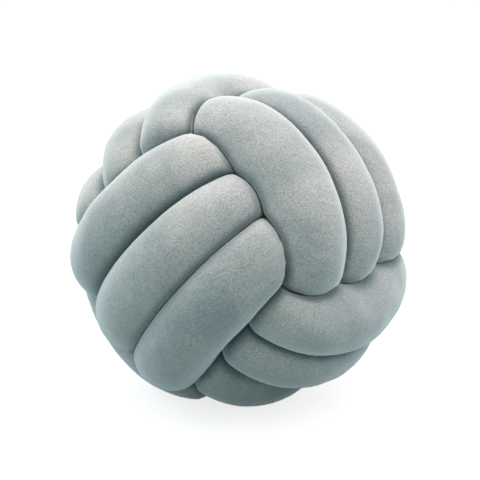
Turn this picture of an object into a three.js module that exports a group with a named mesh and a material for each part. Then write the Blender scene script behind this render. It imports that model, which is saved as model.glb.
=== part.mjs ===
// A round knot cushion: one long stuffed velvet tube, wound three turns at a time about three
// axes and drawn up into a ball (a monkey's fist knot). Millimetres, +Z up, origin on the
// surface it rests on, under the middle of the ball.

import * as THREE from 'three';

// ---- Driving dimensions -------------------------------------------------------------------

const ROUTE_RADIUS = 121;      // ball centre to the tube's centreline, on the outside
const HIDDEN_REACH = 80;       // ball centre to the centreline where a turn passes under others
const OUTER_PITCH = 55;        // turn to turn, side by side on the outside
const HIDDEN_PITCH = 38;       // turn to turn, squeezed together inside
const CORNER_SHARPNESS = 7;    // how squarely a turn goes from the outside to the inside
const TUBE_RADIUS = 33;        // the stuffed tube where nothing presses on it
const TURNS = 3;               // turns in each hank
const REST_HEIGHT = 139;       // ball centre above the surface it sinks into
const TOUCH_GAP = 3.6;         // air between two lengths of tube that press on each other
const CREASE_ROUNDING = 6;     // how softly the cover turns into a crease
const GIVE_WAY = 450;          // square mm that a diving turn yields to the turn lying over it

// How the knot is turned on the surface, degrees about X, then Y, then Z.
const REST_TURN = { x: 28, y: 36, z: -46.5 };

// How each outside arc lies off its plain place, in millimetres. shift moves it sideways; lean
// moves its first half back and its second half on; bow moves its middle sideways; lift moves
// it outwards; tilt sinks its first half and raises its second half; full thickens the tube;
// yields is the share of GIVE_WAY its ends give where they dive (1 where not named).
const LIES = {
  top1: { shift: 1, lean: 1, bow: 0, lift: 2, tilt: 0, full: -4, yields: 0.4 },
  top2: { shift: 0, lean: -4, bow: 1, lift: -1, tilt: 0, full: -2, yields: 0.4 },
  top3: { shift: 1, lean: -5, bow: 5, lift: 2, tilt: 0, full: 1, yields: 0.4 },
  bottom3: { shift: 0, lean: 0, bow: 0, lift: -4, tilt: 0, full: 1 },
  front1: { shift: -2, lean: 0, bow: 0, lift: 0, tilt: -4, full: 2 },
  front2: { shift: -2, lean: 6, bow: -1, lift: 1, tilt: -5, full: 1 },
  front3: { shift: 3, lean: 7, bow: 0, lift: 2, tilt: -1, full: 2 },
  left1: { shift: 4, lean: 0, bow: 0, lift: 5, tilt: 0, full: 0 },
  left2: { shift: 3, lean: -2, bow: 0, lift: 1, tilt: 0, full: 0 },
  left3: { shift: -1, lean: 1, bow: 0, lift: 0, tilt: 0, full: 2 },
  right1: { shift: -1, lean: 6, bow: -3, lift: 1, tilt: 0, full: 1 },
  right2: { shift: 2, lean: 0, bow: 2, lift: -1, tilt: 1, full: -3 },
  right3: { shift: 2, lean: 3, bow: 0, lift: -7, tilt: 0, full: -1 },
};

// Winding and settling of the route.
const ROUTE_STEP = 8;          // spacing of the route's points
const WINDING_RADIUS = 100;    // mean radius of a turn, which sets how many points it gets
const LANE_CHANGE = 0.75;      // radians either side of the change from one turn to the next
const SPREAD_FROM = 0.25;      // cosine off the middle of an arc where turns begin to spread
const LINK_REACH = 1.2;        // how far the link between two hanks carries straight on
const LINK_SLACK = 1.12;       // length of such a link against the straight way
const SETTLE_ROUNDS = 150;
const CLEAR_DISTANCE = 52;     // centrelines closer than this push each other apart
const OWN_LENGTH = 75;         // along the tube, nearer points never push each other
const PUSH = 0.08;
const SHORTEN = 0.10;
const STIFFEN = 0.20;
const SLIDE = 0.25;            // how fast points even out along the tube
const HOLD = 0.5;              // pull of the outside arcs back to their place
const HELD_PUSH = 0.8;         // share of a push that a held arc doesn't feel
const HELD_FROM = { free: 0.5, held: 0.7 };   // cosine of the angle off the middle of the arc
// Cosines off the middle of an arc between which the tube gives way as it dives under.
const DIVE = { below: 0.35, fromBelow: 0.6, fromAbove: 0.7, above: 0.9 };
const ROUTE_LIMIT = 127;       // no point of the route is further out
const LIE_FADE = 0.7;          // cosine off the middle of an arc where its lie begins to fade
const BOW_MIDDLE = 0.8;        // cosine off the middle of an arc where a bow crosses its place

// Facets of the solid.
const SIDES = 10;
const RINGS = 495;
const POINTS_PER_RING = 3;     // points of the centreline for each ring of the cover
const BEND_SPAN = 2;           // points either side over which a bend is measured
const BEND_SHARE = 0.9;        // share of a bend's own radius that the tube may fill
const LEAST_REACH = 2;         // the cover never closes right in on the centreline
const REACHES = 72;            // lengths of tube further off than this never touch
const FREE = 1000;             // stands for no limit at all

// ---- Small helpers ------------------------------------------------------------------------

const smoothStep = (from, to, value) => {
  const t = THREE.MathUtils.clamp((value - from) / (to - from), 0, 1);
  return t * t * (3 - 2 * t);
};

const softMin = (a, b, rounding) => {
  const share = THREE.MathUtils.clamp(0.5 + 0.5 * (b - a) / rounding, 0, 1);
  return b * (1 - share) + a * share - rounding * share * (1 - share);
};

// ---- The route of the tube ----------------------------------------------------------------

// What the named arcs of a hank add to the plain route at one angle, each fading out towards
// the tucks at its ends.
function lieAt(faces, angle) {
  const lie = { offset: 0, lift: 0, full: 0, yields: 1 };
  for (let half = 0; half < 2 * TURNS; half += 1) {
    const turned = angle - half * Math.PI;
    const near = Math.cos(turned);
    if (Math.abs(turned) >= Math.PI / 2) continue;
    const name = `${faces[half % 2]}${Math.floor(half / 2) + 1}`;
    const { shift = 0, lean = 0, bow = 0, lift = 0 } = LIES[name] ?? {};
    const { tilt = 0, full = 0, yields = 1 } = LIES[name] ?? {};
    const weight = smoothStep(0, LIE_FADE, near);
    const bowed = bow * (near - BOW_MIDDLE) / (1 - BOW_MIDDLE);
    lie.offset += weight * (shift + lean * Math.sin(turned) + bowed);
    lie.lift += weight * (lift + tilt * Math.sin(turned));
    lie.full += weight * full;
    lie.yields = yields;
  }
  return lie;
}

// One hank: TURNS rounds in the plane of `out` and `along`, stacked side by side on `stack`.
function hankRoute({ faces, out, along, stack }) {
  const perTurn = Math.round(2 * Math.PI * WINDING_RADIUS / ROUTE_STEP);
  const count = TURNS * perTurn;
  const points = [];
  for (let i = 0; i <= count; i += 1) {
    const angle = -Math.PI / 2 + 2 * Math.PI * i / perTurn;
    let lane = 1;
    for (let change = 1; change < TURNS; change += 1) {
      const middle = (2 * change - 0.5) * Math.PI;
      lane -= smoothStep(middle - LANE_CHANGE, middle + LANE_CHANGE, angle);
    }
    const outside = Math.abs(Math.cos(angle));
    const spread = smoothStep(SPREAD_FROM, 1, outside);
    const lie = lieAt(faces, angle);
    const offset = lane * THREE.MathUtils.lerp(HIDDEN_PITCH, OUTER_PITCH, spread) + lie.offset;
    const round = Math.sqrt((ROUTE_RADIUS + lie.lift) ** 2 - offset ** 2);
    const flat = HIDDEN_REACH / Math.max(Math.abs(Math.sin(angle)), 1e-6);
    const reach = (round ** -CORNER_SHARPNESS + flat ** -CORNER_SHARPNESS) ** (-1 / CORNER_SHARPNESS);
    const point = new THREE.Vector3()
      .addScaledVector(out, reach * Math.cos(angle))
      .addScaledVector(along, reach * Math.sin(angle))
      .addScaledVector(stack, offset);
    const hold = smoothStep(HELD_FROM.free, HELD_FROM.held, outside);
    const give = lie.yields * smoothStep(DIVE.below, DIVE.fromBelow, outside)
      * (1 - smoothStep(DIVE.fromAbove, DIVE.above, outside));
    points.push({ point, hold, give, full: lie.full });
  }
  return points;
}

// The short run inside the ball from the end of one hank to the start of the next.
function linkRoute(from, to) {
  const [beforeEnd, end] = from.slice(-2).map((entry) => entry.point);
  const [start, afterStart] = to.slice(0, 2).map((entry) => entry.point);
  const span = end.distanceTo(start);
  const pull = span * LINK_REACH;
  const leave = end.clone().sub(beforeEnd).setLength(pull);
  const arrive = afterStart.clone().sub(start).setLength(pull);
  const curve = new THREE.CubicBezierCurve3(
    end,
    end.clone().addScaledVector(leave, 1 / 3),
    start.clone().addScaledVector(arrive, -1 / 3),
    start,
  );
  const steps = Math.round(span * LINK_SLACK / ROUTE_STEP);
  return curve.getPoints(steps).slice(0, -1).map((point) => (
    { point, hold: 0, give: 0, full: 0 }
  ));
}

// The closed route: three hanks at right angles, each carried on into the next.
function knotRoute() {
  const axis = (x, y, z) => new THREE.Vector3(x, y, z);
  const hanks = [
    { faces: ['top', 'bottom'], out: axis(0, 0, 1), along: axis(1, 0, 0), stack: axis(0, 1, 0) },
    { faces: ['back', 'front'], out: axis(0, 1, 0), along: axis(0, 0, -1), stack: axis(-1, 0, 0) },
    { faces: ['left', 'right'], out: axis(-1, 0, 0), along: axis(0, -1, 0), stack: axis(0, 0, 1) },
  ].map(hankRoute);
  const route = [];
  hanks.forEach((hank, index) => {
    route.push(...hank.slice(0, -1));
    route.push(...linkRoute(hank, hanks[(index + 1) % hanks.length]));
  });
  return spaceEvenly(route);
}

// The same closed route with its points about one ROUTE_STEP apart.
function spaceEvenly(route) {
  const total = route.length;
  const reached = [0];
  for (let i = 0; i < total; i += 1) {
    reached.push(reached[i] + route[i].point.distanceTo(route[(i + 1) % total].point));
  }
  const length = reached[total];
  const count = Math.round(length / ROUTE_STEP);
  const even = [];
  let i = 0;
  for (let k = 0; k < count; k += 1) {
    const at = k * length / count;
    while (reached[i + 1] <= at) i += 1;
    const t = (at - reached[i]) / (reached[i + 1] - reached[i]);
    const next = route[(i + 1) % total];
    even.push({
      point: route[i].point.clone().lerp(next.point, t),
      hold: THREE.MathUtils.lerp(route[i].hold, next.hold, t),
      give: THREE.MathUtils.lerp(route[i].give, next.give, t),
      full: THREE.MathUtils.lerp(route[i].full, next.full, t),
    });
  }
  return even;
}

// Lets the route settle: lengths of tube push each other apart, slack draws up, and the arcs
// that lie on the outside keep their place. Gives back the points alone.
function settle(route) {
  const n = route.length;
  const home = route.map((entry) => entry.point.clone());
  let points = route.map((entry) => entry.point.clone());
  const own = OWN_LENGTH / ROUTE_STEP;
  const before = (i) => (i + n - 1) % n;
  const after = (i) => (i + 1) % n;
  for (let round = 0; round < SETTLE_ROUNDS; round += 1) {
    const pushes = pushesBetween(points, own);
    points.forEach((point, i) => {
      point.addScaledVector(pushes[i], PUSH * (1 - HELD_PUSH * route[i].hold));
    });
    const pull = points.map((point, i) => (
      points[before(i)].clone().add(points[after(i)]).multiplyScalar(0.5).sub(point)
    ));
    const bend = pull.map((vector, i) => (
      pull[before(i)].clone().add(pull[after(i)]).multiplyScalar(0.5).sub(vector)
    ));
    points.forEach((point, i) => {
      const hold = route[i].hold;
      point.addScaledVector(pull[i], SHORTEN * (1 - hold));
      point.addScaledVector(bend[i], -STIFFEN);
      point.lerp(home[i], HOLD * hold);
      point.clampLength(0, ROUTE_LIMIT);
    });
    points = points.map((point, i) => {
      const ahead = points[after(i)].clone().sub(point);
      const behind = point.clone().sub(points[before(i)]);
      const slide = SLIDE * (ahead.length() - behind.length()) * (1 - route[i].hold);
      return point.clone().addScaledVector(ahead.add(behind).normalize(), slide);
    });
  }
  return points;
}

// For each point, the push it gets from every other length of tube that is too near.
function pushesBetween(points, own) {
  const n = points.length;
  const pushes = points.map(() => new THREE.Vector3());
  const apart = new THREE.Vector3();
  for (let i = 0; i < n; i += 1) {
    for (let j = i + 1; j < n; j += 1) {
      const along = Math.min(j - i, n - j + i);
      if (along <= own) continue;
      const distance = apart.subVectors(points[i], points[j]).length();
      if (distance >= CLEAR_DISTANCE) continue;
      const share = (CLEAR_DISTANCE - distance) / (distance + 1e-9);
      pushes[i].addScaledVector(apart, share);
      pushes[j].addScaledVector(apart, -share);
    }
  }
  return pushes;
}

// ---- The tube around the route ------------------------------------------------------------

// Frames that travel along the closed route without twisting, the last remainder shared out.
function travelFrames(points) {
  const n = points.length;
  const tangents = points.map((_, i) => (
    points[(i + 1) % n].clone().sub(points[(i + n - 1) % n]).normalize()
  ));
  const flatten = (vector, tangent) => (
    vector.clone().addScaledVector(tangent, -vector.dot(tangent)).normalize()
  );
  const normals = [flatten(new THREE.Vector3(0, 0, 1), tangents[0])];
  for (let i = 1; i < n; i += 1) {
    normals.push(flatten(normals[i - 1], tangents[i]));
  }
  const closing = flatten(normals[n - 1], tangents[0]);
  const side = tangents[0].clone().cross(normals[0]);
  const twist = Math.atan2(closing.dot(side), closing.dot(normals[0]));
  return tangents.map((tangent, i) => {
    const normal = normals[i].clone().applyAxisAngle(tangent, -twist * i / n);
    return { tangent, normal, side: tangent.clone().cross(normal) };
  });
}

// The rings of the cover. Each corner stands at the tube's own radius, or at its share of the
// way to the next length of tube, or inside the tube's own bend, whichever is least, and never
// below the surface.
function coverRings(points, tube, frames) {
  const n = points.length;
  const spacing = points[0].distanceTo(points[1]);
  const own = OWN_LENGTH / spacing;
  const rings = [];
  for (let at = 0; at < n; at += POINTS_PER_RING) {
    const centre = points[at];
    const others = points
      .map((point, i) => ({
        offset: point.clone().sub(centre),
        away: Math.abs(i - at),
        fuller: tube[at].claim - tube[i].claim,
      }))
      .filter(({ offset, away }) => Math.min(away, n - away) > own && offset.length() < REACHES);
    const bend = points[(at + BEND_SPAN) % n].clone()
      .add(points[(at + n - BEND_SPAN) % n])
      .addScaledVector(centre, -2)
      .divideScalar((BEND_SPAN * spacing) ** 2);
    rings.push(sideDirections(frames[at]).map((direction) => {
      const inward = direction.dot(bend);
      let limit = inward > 1e-6 ? BEND_SHARE / inward : FREE;
      others.forEach(({ offset, fuller }) => {
        const facing = direction.dot(offset);
        if (facing <= 1e-6) return;
        limit = Math.min(limit, (offset.lengthSq() + fuller) / (2 * facing) - TOUCH_GAP / 2);
      });
      const reach = softMin(tube[at].radius, Math.max(limit, LEAST_REACH), CREASE_ROUNDING);
      const floor = direction.z < 0 ? centre.z / -direction.z : FREE;
      const corner = centre.clone().addScaledVector(direction, Math.min(reach, floor));
      if (reach >= floor) corner.z = 0;
      return corner;
    }));
  }
  return rings;
}

function sideDirections(frame) {
  return Array.from({ length: SIDES }, (_, k) => {
    const angle = 2 * Math.PI * k / SIDES;
    return frame.normal.clone().multiplyScalar(Math.cos(angle))
      .addScaledVector(frame.side, Math.sin(angle));
  });
}

function tubeGeometry(rings) {
  const positions = rings.flat().flatMap((corner) => corner.toArray());
  const corners = [];
  rings.forEach((_, i) => {
    const next = (i + 1) % rings.length;
    for (let k = 0; k < SIDES; k += 1) {
      const side = (k + 1) % SIDES;
      const [a, b] = [i * SIDES + k, i * SIDES + side];
      const [c, d] = [next * SIDES + side, next * SIDES + k];
      corners.push(a, b, c, a, c, d);
    }
  });
  const geometry = new THREE.BufferGeometry();
  geometry.setAttribute('position', new THREE.Float32BufferAttribute(positions, 3));
  geometry.setIndex(corners);
  geometry.computeBoundingBox();
  const middle = geometry.boundingBox.getCenter(new THREE.Vector3());
  geometry.translate(-middle.x, -middle.y, 0);
  geometry.computeVertexNormals();
  return geometry;
}

// ---- The cushion --------------------------------------------------------------------------

function knottedTube() {
  const turn = new THREE.Euler(
    ...[REST_TURN.x, REST_TURN.y, REST_TURN.z].map(THREE.MathUtils.degToRad),
    'XYZ',
  );
  const route = knotRoute();
  const curve = new THREE.CatmullRomCurve3(settle(route), true);
  curve.arcLengthDivisions = 8 * RINGS;
  const count = RINGS * POINTS_PER_RING;
  const places = Array.from({ length: count }, (_, i) => curve.getUtoTmapping(i / count));
  const points = places.map((place) => (
    curve.getPoint(place).applyEuler(turn).add(new THREE.Vector3(0, 0, REST_HEIGHT))
  ));
  const tube = places.map((place) => {
    const i = Math.floor(place * route.length) % route.length;
    const next = route[(i + 1) % route.length];
    const share = place * route.length - i;
    const radius = TUBE_RADIUS + THREE.MathUtils.lerp(route[i].full, next.full, share);
    const give = THREE.MathUtils.lerp(route[i].give, next.give, share);
    return { radius, claim: radius ** 2 - GIVE_WAY * give };
  });
  const geometry = tubeGeometry(coverRings(points, tube, travelFrames(points)));
  const velvet = new THREE.MeshStandardMaterial({ color: 0x94a09f, roughness: 0.9, metalness: 0 });
  const mesh = new THREE.Mesh(geometry, velvet);
  mesh.name = 'knotted_tube';
  return mesh;
}

const cushion = new THREE.Group();
cushion.name = 'knot_cushion';
cushion.add(knottedTube());

export default cushion;
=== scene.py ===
import logging
import math
from dataclasses import dataclass, field
from enum import Enum
from typing import Optional, Union

import bpy
import numpy as np
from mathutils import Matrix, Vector, noise


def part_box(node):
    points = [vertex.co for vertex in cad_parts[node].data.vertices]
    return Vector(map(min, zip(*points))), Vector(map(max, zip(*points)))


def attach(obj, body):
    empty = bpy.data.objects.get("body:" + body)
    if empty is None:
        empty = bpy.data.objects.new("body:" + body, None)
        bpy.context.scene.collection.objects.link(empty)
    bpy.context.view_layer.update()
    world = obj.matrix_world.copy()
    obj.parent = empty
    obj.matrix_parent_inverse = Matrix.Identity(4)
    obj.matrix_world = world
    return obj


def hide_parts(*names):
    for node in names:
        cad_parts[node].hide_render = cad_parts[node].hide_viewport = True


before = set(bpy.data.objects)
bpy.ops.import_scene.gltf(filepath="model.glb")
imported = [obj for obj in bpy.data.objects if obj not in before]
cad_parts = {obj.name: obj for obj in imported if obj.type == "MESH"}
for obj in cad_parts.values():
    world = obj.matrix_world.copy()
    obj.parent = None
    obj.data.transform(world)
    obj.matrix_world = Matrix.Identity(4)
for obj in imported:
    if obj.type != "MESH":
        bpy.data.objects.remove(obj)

# Looks of the knot ball cushion: one long stuffed tube of short-pile velvet, wound three turns
# at a time about three axes and drawn up into a ball. Lengths inside the winding classes are
# in millimetres, as in the part's own source; meshes, lights and camera are in metres.

LOG = logging.getLogger("knot_cushion")
MM = 0.001
ROOT = "root"
CAD_TUBE = "knotted_tube"
FREE = 1000.0            # stands for no limit at all
TINY = 1e-6              # this and the next two keep a division from failing
TINIER = 1e-9
TINIEST = 1e-12

Colour = tuple[float, float, float]
Triple = tuple[float, float, float]
Value = Union[float, int, bool, Colour, tuple, "Sock"]


def smooth_step(low: float, high: float, value: np.ndarray) -> np.ndarray:
    """Rises smoothly from 0 at low to 1 at high.

    Args:
        low: Where the rise begins.
        high: Where it ends.
        value: The values to place on the rise.

    Returns:
        One share from 0 to 1 for each value.
    """
    t = np.clip((value - low) / (high - low), 0.0, 1.0)
    return t * t * (3.0 - 2.0 * t)


def soft_min(a: np.ndarray, b: np.ndarray, rounding: float) -> np.ndarray:
    """The smaller of two values, with the change from one to the other rounded off.

    Args:
        a: First values.
        b: Second values.
        rounding: Difference over which the change is spread.

    Returns:
        The rounded minimum.
    """
    share = np.clip(0.5 + 0.5 * (b - a) / rounding, 0.0, 1.0)
    return b * (1.0 - share) + a * share - rounding * share * (1.0 - share)


def unit(vectors: np.ndarray) -> np.ndarray:
    """Scales vectors in the last axis to length 1.

    Args:
        vectors: Any array whose last axis holds x, y and z.

    Returns:
        The same array with unit vectors.
    """
    return vectors / (np.linalg.norm(vectors, axis=-1, keepdims=True) + TINIEST)


def closed_lengths(points: np.ndarray) -> np.ndarray:
    """Length reached along a closed line at each point, and at the end.

    Args:
        points: The line's points, first not repeated.

    Returns:
        One more length than there are points, starting at 0.
    """
    steps = np.linalg.norm(np.roll(points, -1, axis=0) - points, axis=1)
    return np.concatenate([[0.0], np.cumsum(steps)])


# ---- Winding the tube ---------------------------------------------------------------------


class Hank(Enum):
    """The three hanks of the knot, each with its axes (out, along, stack) in the knot's frame."""

    TOP_AND_BOTTOM = ((0, 0, 1), (1, 0, 0), (0, 1, 0))
    BACK_AND_FRONT = ((0, 1, 0), (0, 0, -1), (-1, 0, 0))
    LEFT_AND_RIGHT = ((-1, 0, 0), (0, -1, 0), (0, 0, 1))


@dataclass(frozen=True)
class Lie:
    """How one outside arc of the tube lies off its plain place, in millimetres.

    shift moves it sideways, lean moves its first half back and its second half on, bow moves
    its middle sideways, lift moves it away from the ball's centre, tilt sinks its first half
    and raises its second half, and full thickens it. yields is the share of the usual give
    that its ends give where they dive under another arc.
    """

    shift: float = 0.0
    lean: float = 0.0
    bow: float = 0.0
    lift: float = 0.0
    tilt: float = 0.0
    full: float = 0.0
    yields: float = 1.0


@dataclass
class Route:
    """The tube's centreline with what is known at each of its points."""

    points: np.ndarray
    hold: np.ndarray
    full: np.ndarray
    give: np.ndarray


@dataclass
class Winding:
    """The path of the tube through the knot, in millimetres."""

    route_radius: float = 121.0
    hidden_reach: float = 80.0
    outer_pitch: float = 55.0
    hidden_pitch: float = 38.0
    corner_sharpness: float = 7.0
    turns: int = 3
    route_step: float = 8.0
    winding_radius: float = 100.0
    lane_change: float = 0.75
    spread_from: float = 0.25
    held_from: tuple[float, float] = (0.5, 0.7)
    dive_below: tuple[float, float] = (0.35, 0.6)
    dive_above: tuple[float, float] = (0.7, 0.9)
    lie_fade: float = 0.7
    bow_from: float = 0.8
    bow_span: float = 0.2
    link_reach: float = 1.2
    link_slack: float = 1.12
    settle_rounds: int = 150
    clear_distance: float = 52.0
    own_length: float = 75.0
    push: float = 0.08
    shorten: float = 0.10
    stiffen: float = 0.20
    hold: float = 0.5
    evening: float = 0.25
    held_push: float = 0.8
    route_limit: float = 127.0
    lies: dict[str, Lie] = field(default_factory=dict)

    def hank(self, which: Hank) -> Route:
        """Winds one hank: its turns side by side, squeezed together where they pass inside.

        Args:
            which: The hank to wind.

        Returns:
            The hank's open line.
        """
        per_turn = round(2 * math.pi * self.winding_radius / self.route_step)
        count = self.turns * per_turn
        angle = -math.pi / 2 + 2 * math.pi * np.arange(count + 1) / per_turn
        lane = np.ones_like(angle)
        for change in range(1, self.turns):
            middle = (2 * change - 0.5) * math.pi
            lane -= smooth_step(middle - self.lane_change, middle + self.lane_change, angle)
        outside = np.abs(np.cos(angle))
        spread = smooth_step(self.spread_from, 1.0, outside)
        offset = lane * (self.hidden_pitch + (self.outer_pitch - self.hidden_pitch) * spread)
        radius = np.full_like(angle, self.route_radius)
        full = np.zeros_like(angle)
        yields = np.ones_like(angle)
        for half in range(2 * self.turns):
            name = which.name.lower().split("_and_")[half % 2] + f"_{half // 2 + 1}"
            lie = self.lies.get(name, Lie())
            turned = angle - half * math.pi
            near = np.where(np.abs(turned) < math.pi / 2, np.cos(turned), 0.0)
            weight = smooth_step(0.0, self.lie_fade, near)
            bowed = lie.bow * (near - self.bow_from) / self.bow_span
            offset += weight * (lie.shift + lie.lean * np.sin(turned) + bowed)
            radius += weight * (lie.lift + lie.tilt * np.sin(turned))
            full += weight * lie.full
            yields[near > 0.0] = lie.yields
        dive = smooth_step(*self.dive_below, outside)
        dive = dive * (1.0 - smooth_step(*self.dive_above, outside))
        rounded = np.sqrt(radius**2 - offset**2)
        flat = self.hidden_reach / np.maximum(np.abs(np.sin(angle)), TINY)
        power = self.corner_sharpness
        reach = (rounded**-power + flat**-power) ** (-1.0 / power)
        out, along, stack = (np.array(axis, float) for axis in which.value)
        points = (
            np.outer(reach * np.cos(angle), out)
            + np.outer(reach * np.sin(angle), along)
            + np.outer(offset, stack)
        )
        return Route(points, smooth_step(*self.held_from, outside), full, yields * dive)

    def link(self, before: Route, after: Route) -> Route:
        """The short run inside the ball from one hank's end to the next one's start.

        Args:
            before: The hank that ends.
            after: The hank that begins.

        Returns:
            The run, from the first hank's last point up to the second one's first.
        """
        start, end = before.points[-1], after.points[0]
        span = float(np.linalg.norm(end - start))
        leave = unit(start - before.points[-2]) * span * self.link_reach
        arrive = unit(after.points[1] - end) * span * self.link_reach
        count = round(span * self.link_slack / self.route_step)
        t = (np.arange(count) / count)[:, None]
        points = (
            (2 * t**3 - 3 * t**2 + 1) * start
            + (t**3 - 2 * t**2 + t) * leave
            + (3 * t**2 - 2 * t**3) * end
            + (t**3 - t**2) * arrive
        )
        return Route(points, *np.zeros((3, count)))

    def laid(self) -> Route:
        """The closed route before it settles, its points about one step apart.

        Returns:
            Three hanks at right angles, each carried on into the next.
        """
        hanks = [self.hank(which) for which in Hank]
        runs: list[Route] = []
        for i, hank in enumerate(hanks):
            runs.append(Route(hank.points[:-1], hank.hold[:-1], hank.full[:-1], hank.give[:-1]))
            runs.append(self.link(hank, hanks[(i + 1) % len(hanks)]))
        points = np.concatenate([run.points for run in runs])
        hold = np.concatenate([run.hold for run in runs])
        full = np.concatenate([run.full for run in runs])
        give = np.concatenate([run.give for run in runs])
        reached = closed_lengths(points)
        count = round(reached[-1] / self.route_step)
        at = np.arange(count) * reached[-1] / count

        def even(values: np.ndarray) -> np.ndarray:
            """Reads values off at the even points."""
            return np.interp(at, reached, np.append(values, values[0]))

        spaced = np.stack([even(points[:, axis]) for axis in range(3)], axis=1)
        return Route(spaced, even(hold), even(full), even(give))

    def settled(self) -> Route:
        """Lets the laid route settle.

        Lengths of tube push each other apart, slack draws up, and the arcs that lie on the
        outside keep their place.

        Returns:
            The settled route.
        """
        route = self.laid()
        points = route.points.copy()
        home = route.points
        count = len(points)
        index = np.arange(count)
        along = np.abs(index[:, None] - index)
        along = np.minimum(along, count - along)
        other = np.triu(along > self.own_length / self.route_step)
        held = route.hold[:, None]
        for _ in range(self.settle_rounds):
            dots = points @ points.T
            square = np.diag(dots)
            apart = square[:, None] + square[None] - 2 * dots
            first, second = np.where(other & (apart < self.clear_distance**2))
            gap = points[first] - points[second]
            distance = np.linalg.norm(gap, axis=1) + TINIER
            force = ((self.clear_distance - distance) / distance)[:, None] * gap
            pushes = np.stack(
                [
                    np.bincount(first, force[:, axis], count)
                    - np.bincount(second, force[:, axis], count)
                    for axis in range(3)
                ],
                axis=1,
            )
            points = points + self.push * pushes * (1 - self.held_push * held)
            pull = (np.roll(points, 1, 0) + np.roll(points, -1, 0)) / 2 - points
            bend = (np.roll(pull, 1, 0) + np.roll(pull, -1, 0)) / 2 - pull
            points = points + self.shorten * pull * (1 - held) - self.stiffen * bend
            points = points + (home - points) * held * self.hold
            far = np.linalg.norm(points, axis=1, keepdims=True)
            points = points * np.minimum(1.0, self.route_limit / far)
            ahead = np.roll(points, -1, 0) - points
            behind = points - np.roll(points, 1, 0)
            slide = np.linalg.norm(ahead, axis=1) - np.linalg.norm(behind, axis=1)
            slid = self.evening * slide[:, None] * unit(ahead + behind)
            points = points + slid * (1 - held)
        return Route(points, route.hold, route.full, route.give)


# ---- The cover of the tube ----------------------------------------------------------------


@dataclass
class Grid:
    """The cover as rings of corners: what each ring and corner is, in millimetres."""

    centres: np.ndarray
    directions: np.ndarray
    reach: np.ndarray
    limit: np.ndarray
    give: np.ndarray
    length: float

    def corners(self) -> np.ndarray:
        """Places of the corners, one row of them for each ring."""
        return self.centres[:, None] + self.directions * self.reach[..., None]


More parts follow.
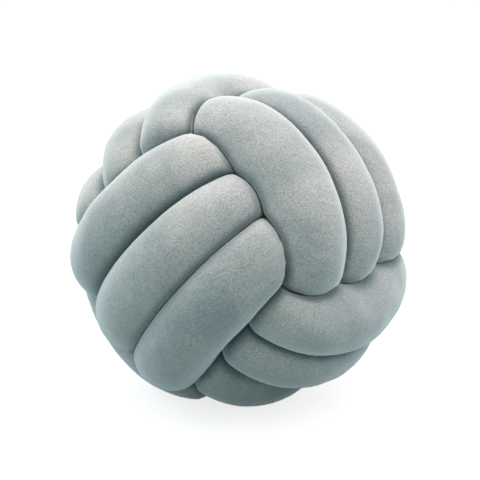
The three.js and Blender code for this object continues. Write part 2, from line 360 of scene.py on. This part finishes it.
@dataclass
class TubeCover:
    """The velvet cover round the settled route, in millimetres."""

    tube_radius: float = 33.0
    touch_gap: float = 0.9
    give_way: float = 450.0
    crease_rounding: float = 6.0
    rings: int = 1560
    sides: int = 60
    curve_points: int = 8
    near_radii: float = 2.1
    bend_reach: float = 8.0
    bend_share: float = 0.9
    least_reach: float = 2.0
    own_length: float = 75.0
    smoothing_rounds: int = 2
    ball_radius: float = 160.0
    ball_rounding: float = 6.0
    swell: float = 1.3
    swell_size: float = 55.0
    swell_free: float = 8.0
    swell_roughness: float = 0.8
    swell_finer: float = 2.0
    swell_octaves: int = 3

    def spaced(self, route: Route) -> tuple[np.ndarray, np.ndarray, np.ndarray, float]:
        """Runs a smooth closed curve through the route and reads it off ring by ring.

        Args:
            route: The settled route.

        Returns:
            The ring centres, how much fuller the tube is and how far it gives way at each,
            and the tube's length.
        """
        points, total = route.points, len(route.points)
        finer = self.curve_points
        share = (np.arange(finer) / finer)[None, :, None]
        before, after, beyond = (np.roll(points, shift, 0)[:, None] for shift in (1, -1, -2))
        here = points[:, None]
        curve = 0.5 * (
            2 * here
            + (after - before) * share
            + (2 * before - 5 * here + 4 * after - beyond) * share**2
            + (3 * here - before - 3 * after + beyond) * share**3
        )
        curve = curve.reshape(-1, 3)
        reached = closed_lengths(curve)
        at = np.arange(self.rings) * reached[-1] / self.rings
        centres = np.stack(
            [
                np.interp(at, reached, np.append(curve[:, axis], curve[0, axis]))
                for axis in range(3)
            ],
            axis=1,
        )
        marks = reached[: total * finer : finer]
        marks = np.append(marks, reached[-1])
        full = np.interp(at, marks, np.append(route.full, route.full[0]))
        give = np.interp(at, marks, np.append(route.give, route.give[0]))
        return centres, full, give, float(reached[-1])

    def frames(self, centres: np.ndarray) -> tuple[np.ndarray, np.ndarray]:
        """Frames that travel along the closed line without twisting, the rest shared out.

        Args:
            centres: The ring centres.

        Returns:
            Two unit vectors across the tube at each ring.
        """
        tangents = unit(np.roll(centres, -1, 0) - np.roll(centres, 1, 0))
        count = len(centres)
        normals = np.zeros_like(centres)
        normal = np.array([0.0, 0.0, 1.0])
        for i in range(count):
            normal = normal - tangents[i] * (normal @ tangents[i])
            normal = normal / np.linalg.norm(normal)
            normals[i] = normal
        closing = unit(normals[-1] - tangents[0] * (normals[-1] @ tangents[0]))
        side = np.cross(tangents[0], normals[0])
        twist = math.atan2(float(closing @ side), float(closing @ normals[0]))
        turn = (-twist * np.arange(count) / count)[:, None]
        across = np.cross(tangents, normals)
        first = normals * np.cos(turn) + across * np.sin(turn)
        return first, np.cross(tangents, first)

    def wrapped(self, route: Route) -> Grid:
        """Wraps the cover round the route.

        The cover stands at its own radius from the centreline, or half way to the next
        length of tube, or inside its own bend, whichever is least.

        Args:
            route: The settled route.

        Returns:
            The cover's grid.
        """
        centres, full, give, length = self.spaced(route)
        first, second = self.frames(centres)
        count = len(centres)
        spacing = length / count
        angle = 2 * math.pi * np.arange(self.sides) / self.sides
        directions = (
            first[:, None] * np.cos(angle)[None, :, None]
            + second[:, None] * np.sin(angle)[None, :, None]
        )
        radius = self.tube_radius + full
        claim = radius**2 - self.give_way * give
        limit = np.full((count, self.sides), FREE)
        index = np.arange(count)
        near = self.near_radii * self.tube_radius
        span = max(1, round(self.bend_reach / spacing))
        for i in range(count):
            offset = centres - centres[i]
            square = (offset**2).sum(1)
            along = np.abs(index - i)
            along = np.minimum(along, count - along) * spacing
            touching = (square < near**2) & (along > self.own_length)
            if touching.any():
                facing = directions[i] @ offset[touching].T
                middle = square[touching] + claim[i] - claim[touching]
                reach = np.where(facing > TINY, middle / (2 * np.maximum(facing, TINY)), FREE)
                limit[i] = reach.min(1) - self.touch_gap / 2
            bend = centres[(i + span) % count] + centres[i - span] - 2 * centres[i]
            inward = directions[i] @ bend / (span * spacing) ** 2
            own = np.where(inward > TINY, self.bend_share / np.maximum(inward, TINY), FREE)
            limit[i] = np.minimum(limit[i], own)
        limit = np.maximum(limit, self.least_reach)
        toward = (directions * centres[:, None]).sum(2)
        inside = (centres**2).sum(1)[:, None]
        ball = np.sqrt(np.maximum(toward**2 - inside + self.ball_radius**2, 0.0)) - toward
        own_radius = np.broadcast_to(radius[:, None], limit.shape)
        reach = soft_min(own_radius, ball, self.ball_rounding)
        reach = soft_min(reach, limit, self.crease_rounding)
        corners = centres[:, None] + directions * reach[..., None]
        reach = self.stuffed_unevenly(corners, reach, limit)
        for _ in range(self.smoothing_rounds):
            around = sum(np.roll(reach, step, axis) for axis in (0, 1) for step in (1, -1)) / 4
            reach = np.minimum(0.5 * reach + 0.5 * around, limit)
        return Grid(centres, directions, reach, limit, give, length)

    def stuffed_unevenly(
        self, corners: np.ndarray, reach: np.ndarray, limit: np.ndarray
    ) -> np.ndarray:
        """Swells and dents the free cover a little, as hand stuffing does.

        Args:
            corners: Places of the corners.
            reach: How far each stands from the centreline.
            limit: How far each may stand.

        Returns:
            The uneven reach.
        """
        free = np.clip((limit - reach) / self.swell_free, 0.0, 1.0)
        places = (corners / self.swell_size).reshape(-1, 3)
        kind = (self.swell_roughness, self.swell_finer, self.swell_octaves)
        lumps = np.array([noise.fractal(Vector(place), *kind) for place in places])
        return reach + self.swell * free * lumps.reshape(reach.shape)


@dataclass
class Stuffing:
    """The filling's pressure on the cover, by a short cloth simulation, in metres.

    The cover is drawn tight, so it hardly moves.
    """

    pressure: float = 4.0
    frames: int = 20
    quality: int = 5
    coarser: int = 2
    slack: float = 0.0
    cap: float = 0.004

    def pushed(self, corners: np.ndarray, free: np.ndarray) -> np.ndarray:
        """Presses the free cover out between the creases that hold it.

        Args:
            corners: Places of the corners in metres, ring by ring.
            free: How free each is to move, from 0 in a crease to 1.

        Returns:
            The new places.
        """
        step = self.coarser
        start = corners[::step, ::step]
        cloth = self.cloth(start, free[::step, ::step])
        scene = bpy.context.scene
        for frame_number in range(1, self.frames + 1):
            scene.frame_set(frame_number)
        shown = cloth.evaluated_get(bpy.context.evaluated_depsgraph_get())
        moved = np.zeros(start.size, np.float32)
        shown.data.vertices.foreach_get("co", moved)
        move = moved.reshape(start.shape) - start
        scene.frame_set(1)
        bpy.data.objects.remove(cloth)
        size = np.linalg.norm(move, axis=-1, keepdims=True)
        move = move * (self.cap * np.tanh(size / self.cap) / (size + TINY))
        LOG.info("stuffing moved the cover %.1f mm at most", 1000 * float(size.max()))
        for axis in (0, 1):
            between = (move + np.roll(move, -1, axis)) / 2
            move = np.stack([move, between], axis=axis + 1)
            shape = list(start.shape)
            shape[axis] *= step
            if axis == 1:
                shape[0] *= step
            move = move.reshape(shape)
        return corners + move * free[..., None]

    def cloth(self, corners: np.ndarray, free: np.ndarray) -> bpy.types.Object:
        """Makes the cover as cloth under pressure, held where it is not free.

        Args:
            corners: Places of its corners.
            free: How free each is to move.

        Returns:
            The cloth, ready to step.
        """
        mesh = bpy.data.meshes.new("stuffing_cloth")
        mesh.from_pydata(corners.reshape(-1, 3).tolist(), [], tube_quads(*free.shape).tolist())
        cloth = bpy.data.objects.new("stuffing_cloth", mesh)
        bpy.context.scene.collection.objects.link(cloth)
        held = cloth.vertex_groups.new(name="held")
        for index, share in enumerate((1.0 - free).ravel()):
            held.add([index], float(share), "REPLACE")
        settings = cloth.modifiers.new("stuffing", "CLOTH").settings
        settings.vertex_group_mass = "held"
        settings.quality = self.quality
        settings.use_pressure = True
        settings.uniform_pressure_force = self.pressure
        settings.shrink_min = -self.slack
        settings.effector_weights.gravity = 0.0
        return cloth


def tube_quads(rings: int, sides: int) -> np.ndarray:
    """The four corners of each face of a closed tube.

    Args:
        rings: Rings along the tube.
        sides: Corners in a ring.

    Returns:
        One row of four corner numbers for each face, facing out.
    """
    ring = np.arange(rings)[:, None]
    side = np.arange(sides)[None]
    next_ring, next_side = (ring + 1) % rings, (side + 1) % sides
    quads = [
        ring * sides + side,
        ring * sides + next_side,
        next_ring * sides + next_side,
        next_ring * sides + side,
    ]
    return np.stack(quads, axis=-1).reshape(-1, 4)


# ---- Shader nodes -------------------------------------------------------------------------


class Nodes:
    """Adds the nodes of one material or world."""

    def __init__(self, tree: bpy.types.NodeTree) -> None:
        """Clears the tree for its new nodes.

        Args:
            tree: The node tree to fill.
        """
        self.tree = tree
        tree.nodes.clear()

    def add(
        self,
        kind: str,
        settings: Optional[dict[str, object]] = None,
        values: Optional[dict[Union[str, int], Value]] = None,
        output: Union[str, int] = 0,
    ) -> "Sock":
        """Adds a node, with its settings first, then the values and links of its sockets.

        Args:
            kind: The node's type, without its leading Shader where it has one.
            settings: Attributes of the node.
            values: A number, a colour or another node's socket for each input.
            output: Which output to hand back.

        Returns:
            The chosen output, ready for maths.
        """
        node = self.tree.nodes.new(f"ShaderNode{kind}")
        for name, setting in (settings or {}).items():
            setattr(node, name, setting)
        for name, value in (values or {}).items():
            socket = node.inputs[name]
            if isinstance(value, Sock):
                self.tree.links.new(value.socket, socket)
            elif isinstance(value, tuple) and len(socket.default_value) == 4:
                socket.default_value = (*value, 1.0)
            else:
                socket.default_value = value
        chosen = node.outputs[output] if node.outputs else None
        return Sock(self, chosen)

    def blend(self, share: Value, first: Value, second: Value, kind: str = "MIX") -> "Sock":
        """Blends two colours.

        Args:
            share: How much of the second is taken.
            first: The colour at 0.
            second: The colour at 1.
            kind: The blend type.

        Returns:
            The blended colour.
        """
        values: dict[Union[str, int], Value] = {0: share, 6: first, 7: second}
        settings = {"data_type": "RGBA", "blend_type": kind}
        return self.add("Mix", settings, values, output=2)


class Sock:
    """One output of a node, with arithmetic on it adding Math nodes."""

    def __init__(self, nodes: Nodes, socket: Optional[bpy.types.NodeSocket]) -> None:
        """Wraps a socket.

        Args:
            nodes: Where new nodes are added.
            socket: The output to wrap.
        """
        self.nodes = nodes
        self.socket = socket

    def maths(self, operation: str, *values: Value, clamp: bool = False) -> "Sock":
        """Adds one Math node.

        Args:
            operation: The node's operation.
            *values: Its inputs in order.
            clamp: Whether the result is kept from 0 to 1.

        Returns:
            The node's result.
        """
        settings = {"operation": operation, "use_clamp": clamp}
        return self.nodes.add("Math", settings, dict(enumerate(values)))

    def __add__(self, other: Value) -> "Sock":
        """Sum."""
        return self.maths("ADD", self, other)

    def __radd__(self, other: Value) -> "Sock":
        """Sum."""
        return self.maths("ADD", other, self)

    def __sub__(self, other: Value) -> "Sock":
        """Difference."""
        return self.maths("SUBTRACT", self, other)

    def __rsub__(self, other: Value) -> "Sock":
        """Difference."""
        return self.maths("SUBTRACT", other, self)

    def __mul__(self, other: Value) -> "Sock":
        """Product."""
        return self.maths("MULTIPLY", self, other)

    def __rmul__(self, other: Value) -> "Sock":
        """Product."""
        return self.maths("MULTIPLY", other, self)

    def rise(self, low: float, high: float) -> "Sock":
        """Rises smoothly from 0 at low to 1 at high.

        Args:
            low: Where the rise begins.
            high: Where it ends.

        Returns:
            A share from 0 to 1.
        """
        settings = {"interpolation_type": "SMOOTHSTEP", "data_type": "FLOAT"}
        values: dict[Union[str, int], Value] = {0: self, 1: low, 2: high, 3: 0.0, 4: 1.0}
        return self.nodes.add("MapRange", settings, values)


# ---- Finishes -----------------------------------------------------------------------------


@dataclass(frozen=True)
class Noise:
    """Soft noise with values about 0.5.

    scale is features in a metre, detail octaves of finer noise, rough the strength of each
    finer octave, and warp how far the pattern is pulled about.
    """

    scale: float
    detail: float
    rough: float
    warp: float

    def on(self, nodes: Nodes, place: Sock) -> Sock:
        """Adds the noise.

        Args:
            nodes: Where it is added.
            place: The coordinates it reads.

        Returns:
            Its values.
        """
        values: dict[Union[str, int], Value] = {
            "Vector": place,
            "Scale": self.scale,
            "Detail": self.detail,
            "Roughness": self.rough,
            "Distortion": self.warp,
        }
        return nodes.add("TexNoise", None, values)


@dataclass(frozen=True)
class Velvet:
    """Short-pile velvet, brushed in soft patches, with painted shade darkening it near the
    creases and a painted sheen turning it pale where it is seen edge on.

    Sizes of the patterns are in features to a metre, and depths of the relief in metres.
    """

    pile: Colour = (0.342, 0.382, 0.372)
    brushed: Colour = (0.430, 0.455, 0.438)
    shaded: Colour = (0.245, 0.305, 0.310)
    # Painted shade: a dark teal laid over the base colour near the contact lines between lengths
    # of tube, where shade falls.
    crease: Colour = (0.035, 0.092, 0.106)
    crease_shade_share: float = 0.92
    sheen: float = 1.0
    sheen_roughness: float = 0.5
    sheen_tint: Colour = (0.86, 0.95, 0.95)
    # Painted sheen: a pale colour laid over the base colour where the cover is seen edge on.
    painted_sheen_colour: Colour = (0.70, 0.77, 0.77)
    painted_sheen_from: float = 0.45
    painted_sheen_share: float = 0.60
    roughness: float = 0.88
    specular: float = 0.12
    patch_share: float = 0.8
    brushed_from: float = 0.44
    brushed_full: float = 0.62
    shaded_from: float = 0.50
    shaded_full: float = 0.66
    shaded_share: float = 0.7
    patches: Noise = Noise(scale=11.0, detail=3.0, rough=0.55, warp=0.6)
    patch_start: Triple = (-1.7, 1.0, 0.4)
    strokes: Noise = Noise(scale=55.0, detail=4.0, rough=0.6, warp=0.9)
    grain: Noise = Noise(scale=820.0, detail=2.0, rough=0.6, warp=0.0)
    grain_contrast: float = 1.6
    grain_depth: float = 0.00035
    nap_depth: float = 0.0009
    fold_depth: float = 0.0016
    folds: Noise = Noise(scale=1.0, detail=2.0, rough=0.5, warp=0.4)
    fold_stretch: Triple = (110.0, 16.0, 1.0)

    def material(self) -> bpy.types.Material:
        """Makes the material.

        Returns:
            The velvet, reading Object coordinates and the cover's map and attributes.
        """
        made = bpy.data.materials.new("short_pile_velvet")
        made.use_nodes = True
        nodes = Nodes(made.node_tree)
        place = nodes.add("TexCoord", output="Object")
        moved = nodes.add("Mapping", None, {"Vector": place, "Location": self.patch_start})
        patches = self.patches.on(nodes, moved)
        strokes = self.strokes.on(nodes, place)
        grain = self.grain.on(nodes, place)
        # The crease attribute is a painted shade mask, highest where the cover meets another
        # length of tube.
        crease = nodes.add("Attribute", {"attribute_name": "crease"}, output="Fac")
        nap = patches * self.patch_share + strokes * (1.0 - self.patch_share)
        lifted = nap.rise(self.brushed_from, self.brushed_full)
        laid = (1.0 - nap).rise(self.shaded_from, self.shaded_full) * self.shaded_share
        colour = nodes.blend(lifted, self.pile, self.brushed)
        colour = nodes.blend(laid, colour, self.shaded)
        speck = (grain - 0.5) * self.grain_contrast + 1.0
        speckled = nodes.add("CombineColor", values={0: speck, 1: speck, 2: speck})
        colour = nodes.blend(1.0, colour, speckled, "MULTIPLY")
        # Painted sheen: the base colour turns pale where the cover is seen edge on, standing in
        # for the velvet's sheen at grazing view.
        facing = nodes.add("LayerWeight", values={"Blend": 0.5}, output="Facing")
        painted_sheen = facing.rise(self.painted_sheen_from, 1.0) * self.painted_sheen_share
        # Painted shade: the colour darkens toward the crease colour near the contact lines.
        colour = nodes.blend(crease * crease * self.crease_shade_share, colour, self.crease)
        colour = nodes.blend(painted_sheen, colour, self.painted_sheen_colour)
        wrap = nodes.add("UVMap", {"uv_map": "wrap"})
        stretched = nodes.add("Mapping", None, {"Vector": wrap, "Scale": self.fold_stretch})
        folds = self.folds.on(nodes, stretched)
        tuck = nodes.add("Attribute", {"attribute_name": "tuck"}, output="Fac")
        height = grain * self.grain_depth + strokes * self.nap_depth
        height = height + folds * tuck * self.fold_depth
        bump = nodes.add("Bump", values={"Strength": 1.0, "Distance": 1.0, "Height": height})
        surface = nodes.add(
            "BsdfPrincipled",
            values={
                "Base Color": colour,
                "Roughness": self.roughness,
                "Specular IOR Level": self.specular,
                "Sheen Weight": self.sheen,
                "Sheen Roughness": self.sheen_roughness,
                "Sheen Tint": self.sheen_tint,
                "Normal": bump,
            },
        )
        nodes.add("OutputMaterial", values={"Surface": surface})
        return made


@dataclass(frozen=True)
class StudioWhite:
    """A plain pale floor that looks white and still takes the cushion's shadow."""

    seen: Colour = (0.42, 0.42, 0.42)
    glow: float = 0.785
    bounce: Colour = (0.29, 0.39, 0.41)

    def material(self) -> bpy.types.Material:
        """Makes the material.

        Returns:
            The floor's finish.
        """
        made = bpy.data.materials.new("studio_white")
        made.use_nodes = True
        nodes = Nodes(made.node_tree)
        straight = nodes.add("LightPath", output="Is Camera Ray")
        mirrored = nodes.add("LightPath", output="Is Glossy Ray")
        through = nodes.add("LightPath", output="Is Transmission Ray")
        shown = (straight + mirrored).maths("ADD", straight + mirrored, through, clamp=True)
        seen = nodes.add("BsdfDiffuse", values={"Color": self.seen})
        glow = nodes.add("Emission", values={"Color": (1.0, 1.0, 1.0), "Strength": self.glow})
        lit = nodes.add("AddShader", values={0: seen, 1: glow})
        dull = nodes.add("BsdfDiffuse", values={"Color": self.bounce})
        surface = nodes.add("MixShader", values={0: shown, 1: dull, 2: lit})
        nodes.add("OutputMaterial", values={"Surface": surface})
        return made


# ---- The cushion --------------------------------------------------------------------------


@dataclass(frozen=True)
class Rest:
    """How the knot is turned and how deep it sinks on the surface it rests on."""

    turn: Triple = (28.0, 36.0, -46.5)
    height: float = 139.0

    def matrix(self) -> np.ndarray:
        """The knot's frame in the part's frame: turns about X, then Y, then Z of the knot."""
        x, y, z = (math.radians(angle) for angle in self.turn)
        about_x = np.array(
            [[1, 0, 0], [0, math.cos(x), -math.sin(x)], [0, math.sin(x), math.cos(x)]]
        )
        about_y = np.array(
            [[math.cos(y), 0, math.sin(y)], [0, 1, 0], [-math.sin(y), 0, math.cos(y)]]
        )
        about_z = np.array(
            [[math.cos(z), -math.sin(z), 0], [math.sin(z), math.cos(z), 0], [0, 0, 1]]
        )
        return about_x @ about_y @ about_z


@dataclass
class KnotCushion:
    """The one piece: the stuffed tube in its knot, resting on its small flat."""

    winding: Winding = field(default_factory=Winding)
    cover: TubeCover = field(default_factory=TubeCover)
    rest: Rest = field(default_factory=Rest)
    stuffing: Stuffing = field(default_factory=Stuffing)
    velvet: Velvet = field(default_factory=Velvet)
    # How far the painted crease shade reaches from a contact, in millimetres.
    crease_shade_reach: float = 14.0
    fill: float = 0.9
    ball_centre: Vector = field(default_factory=Vector)

    def build(self) -> bpy.types.Object:
        """Winds, wraps and dresses the cushion.

        Returns:
            The finished piece, declared to the frame.
        """
        grid = self.cover.wrapped(self.winding.settled())
        corners = grid.corners() @ self.rest.matrix().T
        corners[..., 2] += self.rest.height
        free = np.clip((grid.limit - grid.reach) / self.cover.swell_free, 0.0, 1.0)
        corners = self.stuffing.pushed(corners * MM, free) / MM
        corners[..., 2] = np.maximum(corners[..., 2], 0.0)
        low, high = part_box(CAD_TUBE)
        middle = (np.array(low) + np.array(high)) / 2
        own = (corners.reshape(-1, 3).min(0) + corners.reshape(-1, 3).max(0)) / 2 * MM
        shift = np.array([middle[0] - own[0], middle[1] - own[1], 0.0])
        self.ball_centre = Vector((shift[0], shift[1], self.rest.height * MM))
        piece = self.mesh_object("knot_cushion_velvet", corners * MM + shift, grid)
        piece.data.materials.append(self.velvet.material())
        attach(piece, ROOT)
        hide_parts(CAD_TUBE)
        LOG.info("tube %.2f m long, %d rings", grid.length * MM, len(grid.centres))
        return piece

    def mesh_object(self, name: str, corners: np.ndarray, grid: Grid) -> bpy.types.Object:
        """Makes the closed tube mesh with its crease and tuck attributes and its map.

        Args:
            name: The piece's name.
            corners: Places of the corners in metres.
            grid: The cover they belong to.

        Returns:
            The object, at the origin.
        """
        rings, sides = corners.shape[:2]
        quads = tube_quads(rings, sides)
        mesh = bpy.data.meshes.new(name)
        mesh.from_pydata(corners.reshape(-1, 3).tolist(), [], quads.tolist())
        mesh.polygons.foreach_set("use_smooth", np.ones(len(quads), bool))
        # The crease attribute is a painted shade mask: 1 where the cover touches another length
        # of tube, falling to 0 away from it.
        crease_shade = np.clip(1.0 - (grid.limit - grid.reach) / self.crease_shade_reach, 0.0, 1.0)
        tuck = np.broadcast_to(grid.give[:, None], crease_shade.shape)
        for mark, values in (("crease", crease_shade), ("tuck", tuck)):
            attribute = mesh.attributes.new(mark, "FLOAT", "POINT")
            attribute.data.foreach_set("value", values.astype(np.float32).ravel())
        self.wrap_map(mesh, rings, sides, grid.length)
        mesh.update()
        piece = bpy.data.objects.new(name, mesh)
        bpy.context.scene.collection.objects.link(piece)
        return piece

    def wrap_map(self, mesh: bpy.types.Mesh, rings: int, sides: int, length: float) -> None:
        """Lays a map round and along the tube, in metres of cloth.

        Args:
            mesh: The tube.
            rings: Its rings.
            sides: Its corners in a ring.
            length: The tube's length in millimetres.
        """
        layer = mesh.uv_layers.new(name="wrap")
        ring, side = (grid.ravel() for grid in np.mgrid[0:rings, 0:sides])
        ends = np.stack([ring, ring, ring + 1, ring + 1], axis=1)
        rounds = np.stack([side, side + 1, side + 1, side], axis=1)
        round_tube = 2 * math.pi * self.cover.tube_radius * MM
        spots = np.stack([rounds * round_tube / sides, ends * length * MM / rings], axis=-1)
        layer.data.foreach_set("uv", spots.astype(np.float32).ravel())


# ---- The studio ---------------------------------------------------------------------------


@dataclass(frozen=True)
class SoftBox:
    """A square lamp: its direction from the cushion, power and colour, distance and size."""

    direction: Triple
    power: float
    colour: Colour
    distance: float = 1.5
    size: float = 1.3


class Lamp(Enum):
    """The soft lamps round the cushion."""

    KEY = SoftBox(direction=(0.0, 0.05, 1.0), power=21.5, colour=(1.0, 0.785, 0.725))
    RIGHT = SoftBox(direction=(0.8, -0.1, 0.7), power=11.2, colour=(0.92, 0.85, 0.98))
    LEFT = SoftBox(direction=(-0.8, -0.1, 0.7), power=10.8, colour=(0.80, 0.84, 0.97))
    FRONT = SoftBox(direction=(0.0, -1.0, 0.5), power=1.8, colour=(0.95, 1.0, 0.95))
    BACK = SoftBox(direction=(0.0, 1.0, 0.5), power=3.0, colour=(1.0, 1.0, 1.0))


@dataclass
class Studio:
    """Floor, lamps, world and camera, in metres."""

    centre: Vector
    floor_size: float = 8.0
    ambient: float = 0.48
    ambient_tint: Colour = (0.89, 1.0, 0.955)
    camera_distance: float = 1.5
    camera_elevation: float = 16.0
    seen_width: float = 0.4383
    aim_off: tuple[float, float] = (-0.0007, 0.0041)
    sensor: float = 36.0

    def build(self) -> None:
        """Makes the floor, the lamps, the world and the camera."""
        self.floor()
        for lamp in Lamp:
            self.lamp(lamp)
        self.world()
        self.camera()

    def floor(self) -> None:
        """Lays the floor plane."""
        bpy.ops.object.select_all(action="DESELECT")
        bpy.ops.mesh.primitive_plane_add(size=self.floor_size)
        floor = bpy.context.active_object
        floor.name = "studio_floor"
        floor.data.materials.append(StudioWhite().material())

    def lamp(self, lamp: Lamp) -> None:
        """Hangs one soft square lamp.

        Args:
            lamp: Which lamp.
        """
        box = lamp.value
        light = bpy.data.lights.new(f"lamp_{lamp.name.lower()}", "AREA")
        light.size = box.size
        light.energy = box.power
        light.color = box.colour
        hung = bpy.data.objects.new(light.name, light)
        away = Vector(box.direction).normalized()
        hung.location = self.centre + away * box.distance
        hung.rotation_euler = (-away).to_track_quat("-Z", "Y").to_euler()
        bpy.context.scene.collection.objects.link(hung)

    def world(self) -> None:
        """Lights the scene evenly from all round, seen as white."""
        world = bpy.data.worlds.new("studio_world")
        bpy.context.scene.world = world
        world.use_nodes = True
        nodes = Nodes(world.node_tree)
        straight = nodes.add("LightPath", output="Is Camera Ray")
        strength = straight * (1.0 - self.ambient) + self.ambient
        colour = nodes.blend(straight, self.ambient_tint, (1.0, 1.0, 1.0))
        light = nodes.add("Background", values={"Color": colour, "Strength": strength})
        nodes.add("OutputWorld", values={"Surface": light})

    def camera(self) -> None:
        """Sets the camera a little above the cushion's middle, looking along +Y."""
        camera = bpy.data.cameras.new("camera")
        camera.sensor_width = self.sensor
        camera.lens = self.sensor * self.camera_distance / self.seen_width
        held = bpy.data.objects.new("camera", camera)
        rise = math.radians(self.camera_elevation)
        back = Vector((0.0, -math.cos(rise), math.sin(rise)))
        up = Vector((0.0, math.sin(rise), math.cos(rise)))
        right, above = self.aim_off
        target = self.centre + Vector((1.0, 0.0, 0.0)) * right + up * above
        held.location = target + back * self.camera_distance
        held.rotation_euler = back.to_track_quat("Z", "Y").to_euler()
        bpy.context.scene.collection.objects.link(held)
        bpy.context.scene.camera = held
        bpy.context.scene.view_settings.view_transform = "Standard"


LIES: dict[str, Lie] = {
    "top_1": Lie(shift=1.0, lean=1.0, lift=2.0, full=-4.0, yields=0.4),
    "top_2": Lie(lean=-4.0, bow=1.0, lift=-1.0, full=-2.0, yields=0.4),
    "top_3": Lie(shift=1.0, lean=-5.0, bow=5.0, lift=2.0, full=1.0, yields=0.4),
    "bottom_3": Lie(lift=-4.0, full=1.0),
    "front_1": Lie(shift=-2.0, tilt=-4.0, full=2.0),
    "front_2": Lie(shift=-2.0, lean=6.0, bow=-1.0, lift=1.0, tilt=-5.0, full=1.0),
    "front_3": Lie(shift=3.0, lean=7.0, lift=2.0, tilt=-1.0, full=2.0),
    "left_1": Lie(shift=4.0, lift=5.0),
    "left_2": Lie(shift=3.0, lean=-2.0, lift=1.0),
    "left_3": Lie(shift=-1.0, lean=1.0, full=2.0),
    "right_1": Lie(shift=-1.0, lean=6.0, bow=-3.0, lift=1.0, full=1.0),
    "right_2": Lie(shift=2.0, bow=2.0, lift=-1.0, tilt=1.0, full=-3.0),
    "right_3": Lie(shift=2.0, lean=3.0, lift=-7.0, full=-1.0),
}


def main() -> None:
    """Builds the cushion and its studio."""
    logging.basicConfig(level=logging.INFO, format="%(message)s")
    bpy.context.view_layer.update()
    cushion = KnotCushion(winding=Winding(lies=LIES))
    piece = cushion.build()
    LOG.info("%s: %d faces", piece.name, len(piece.data.polygons))
    Studio(centre=cushion.ball_centre).build()
    LOG.info("studio ready")


if __name__ == "__main__":
    main()
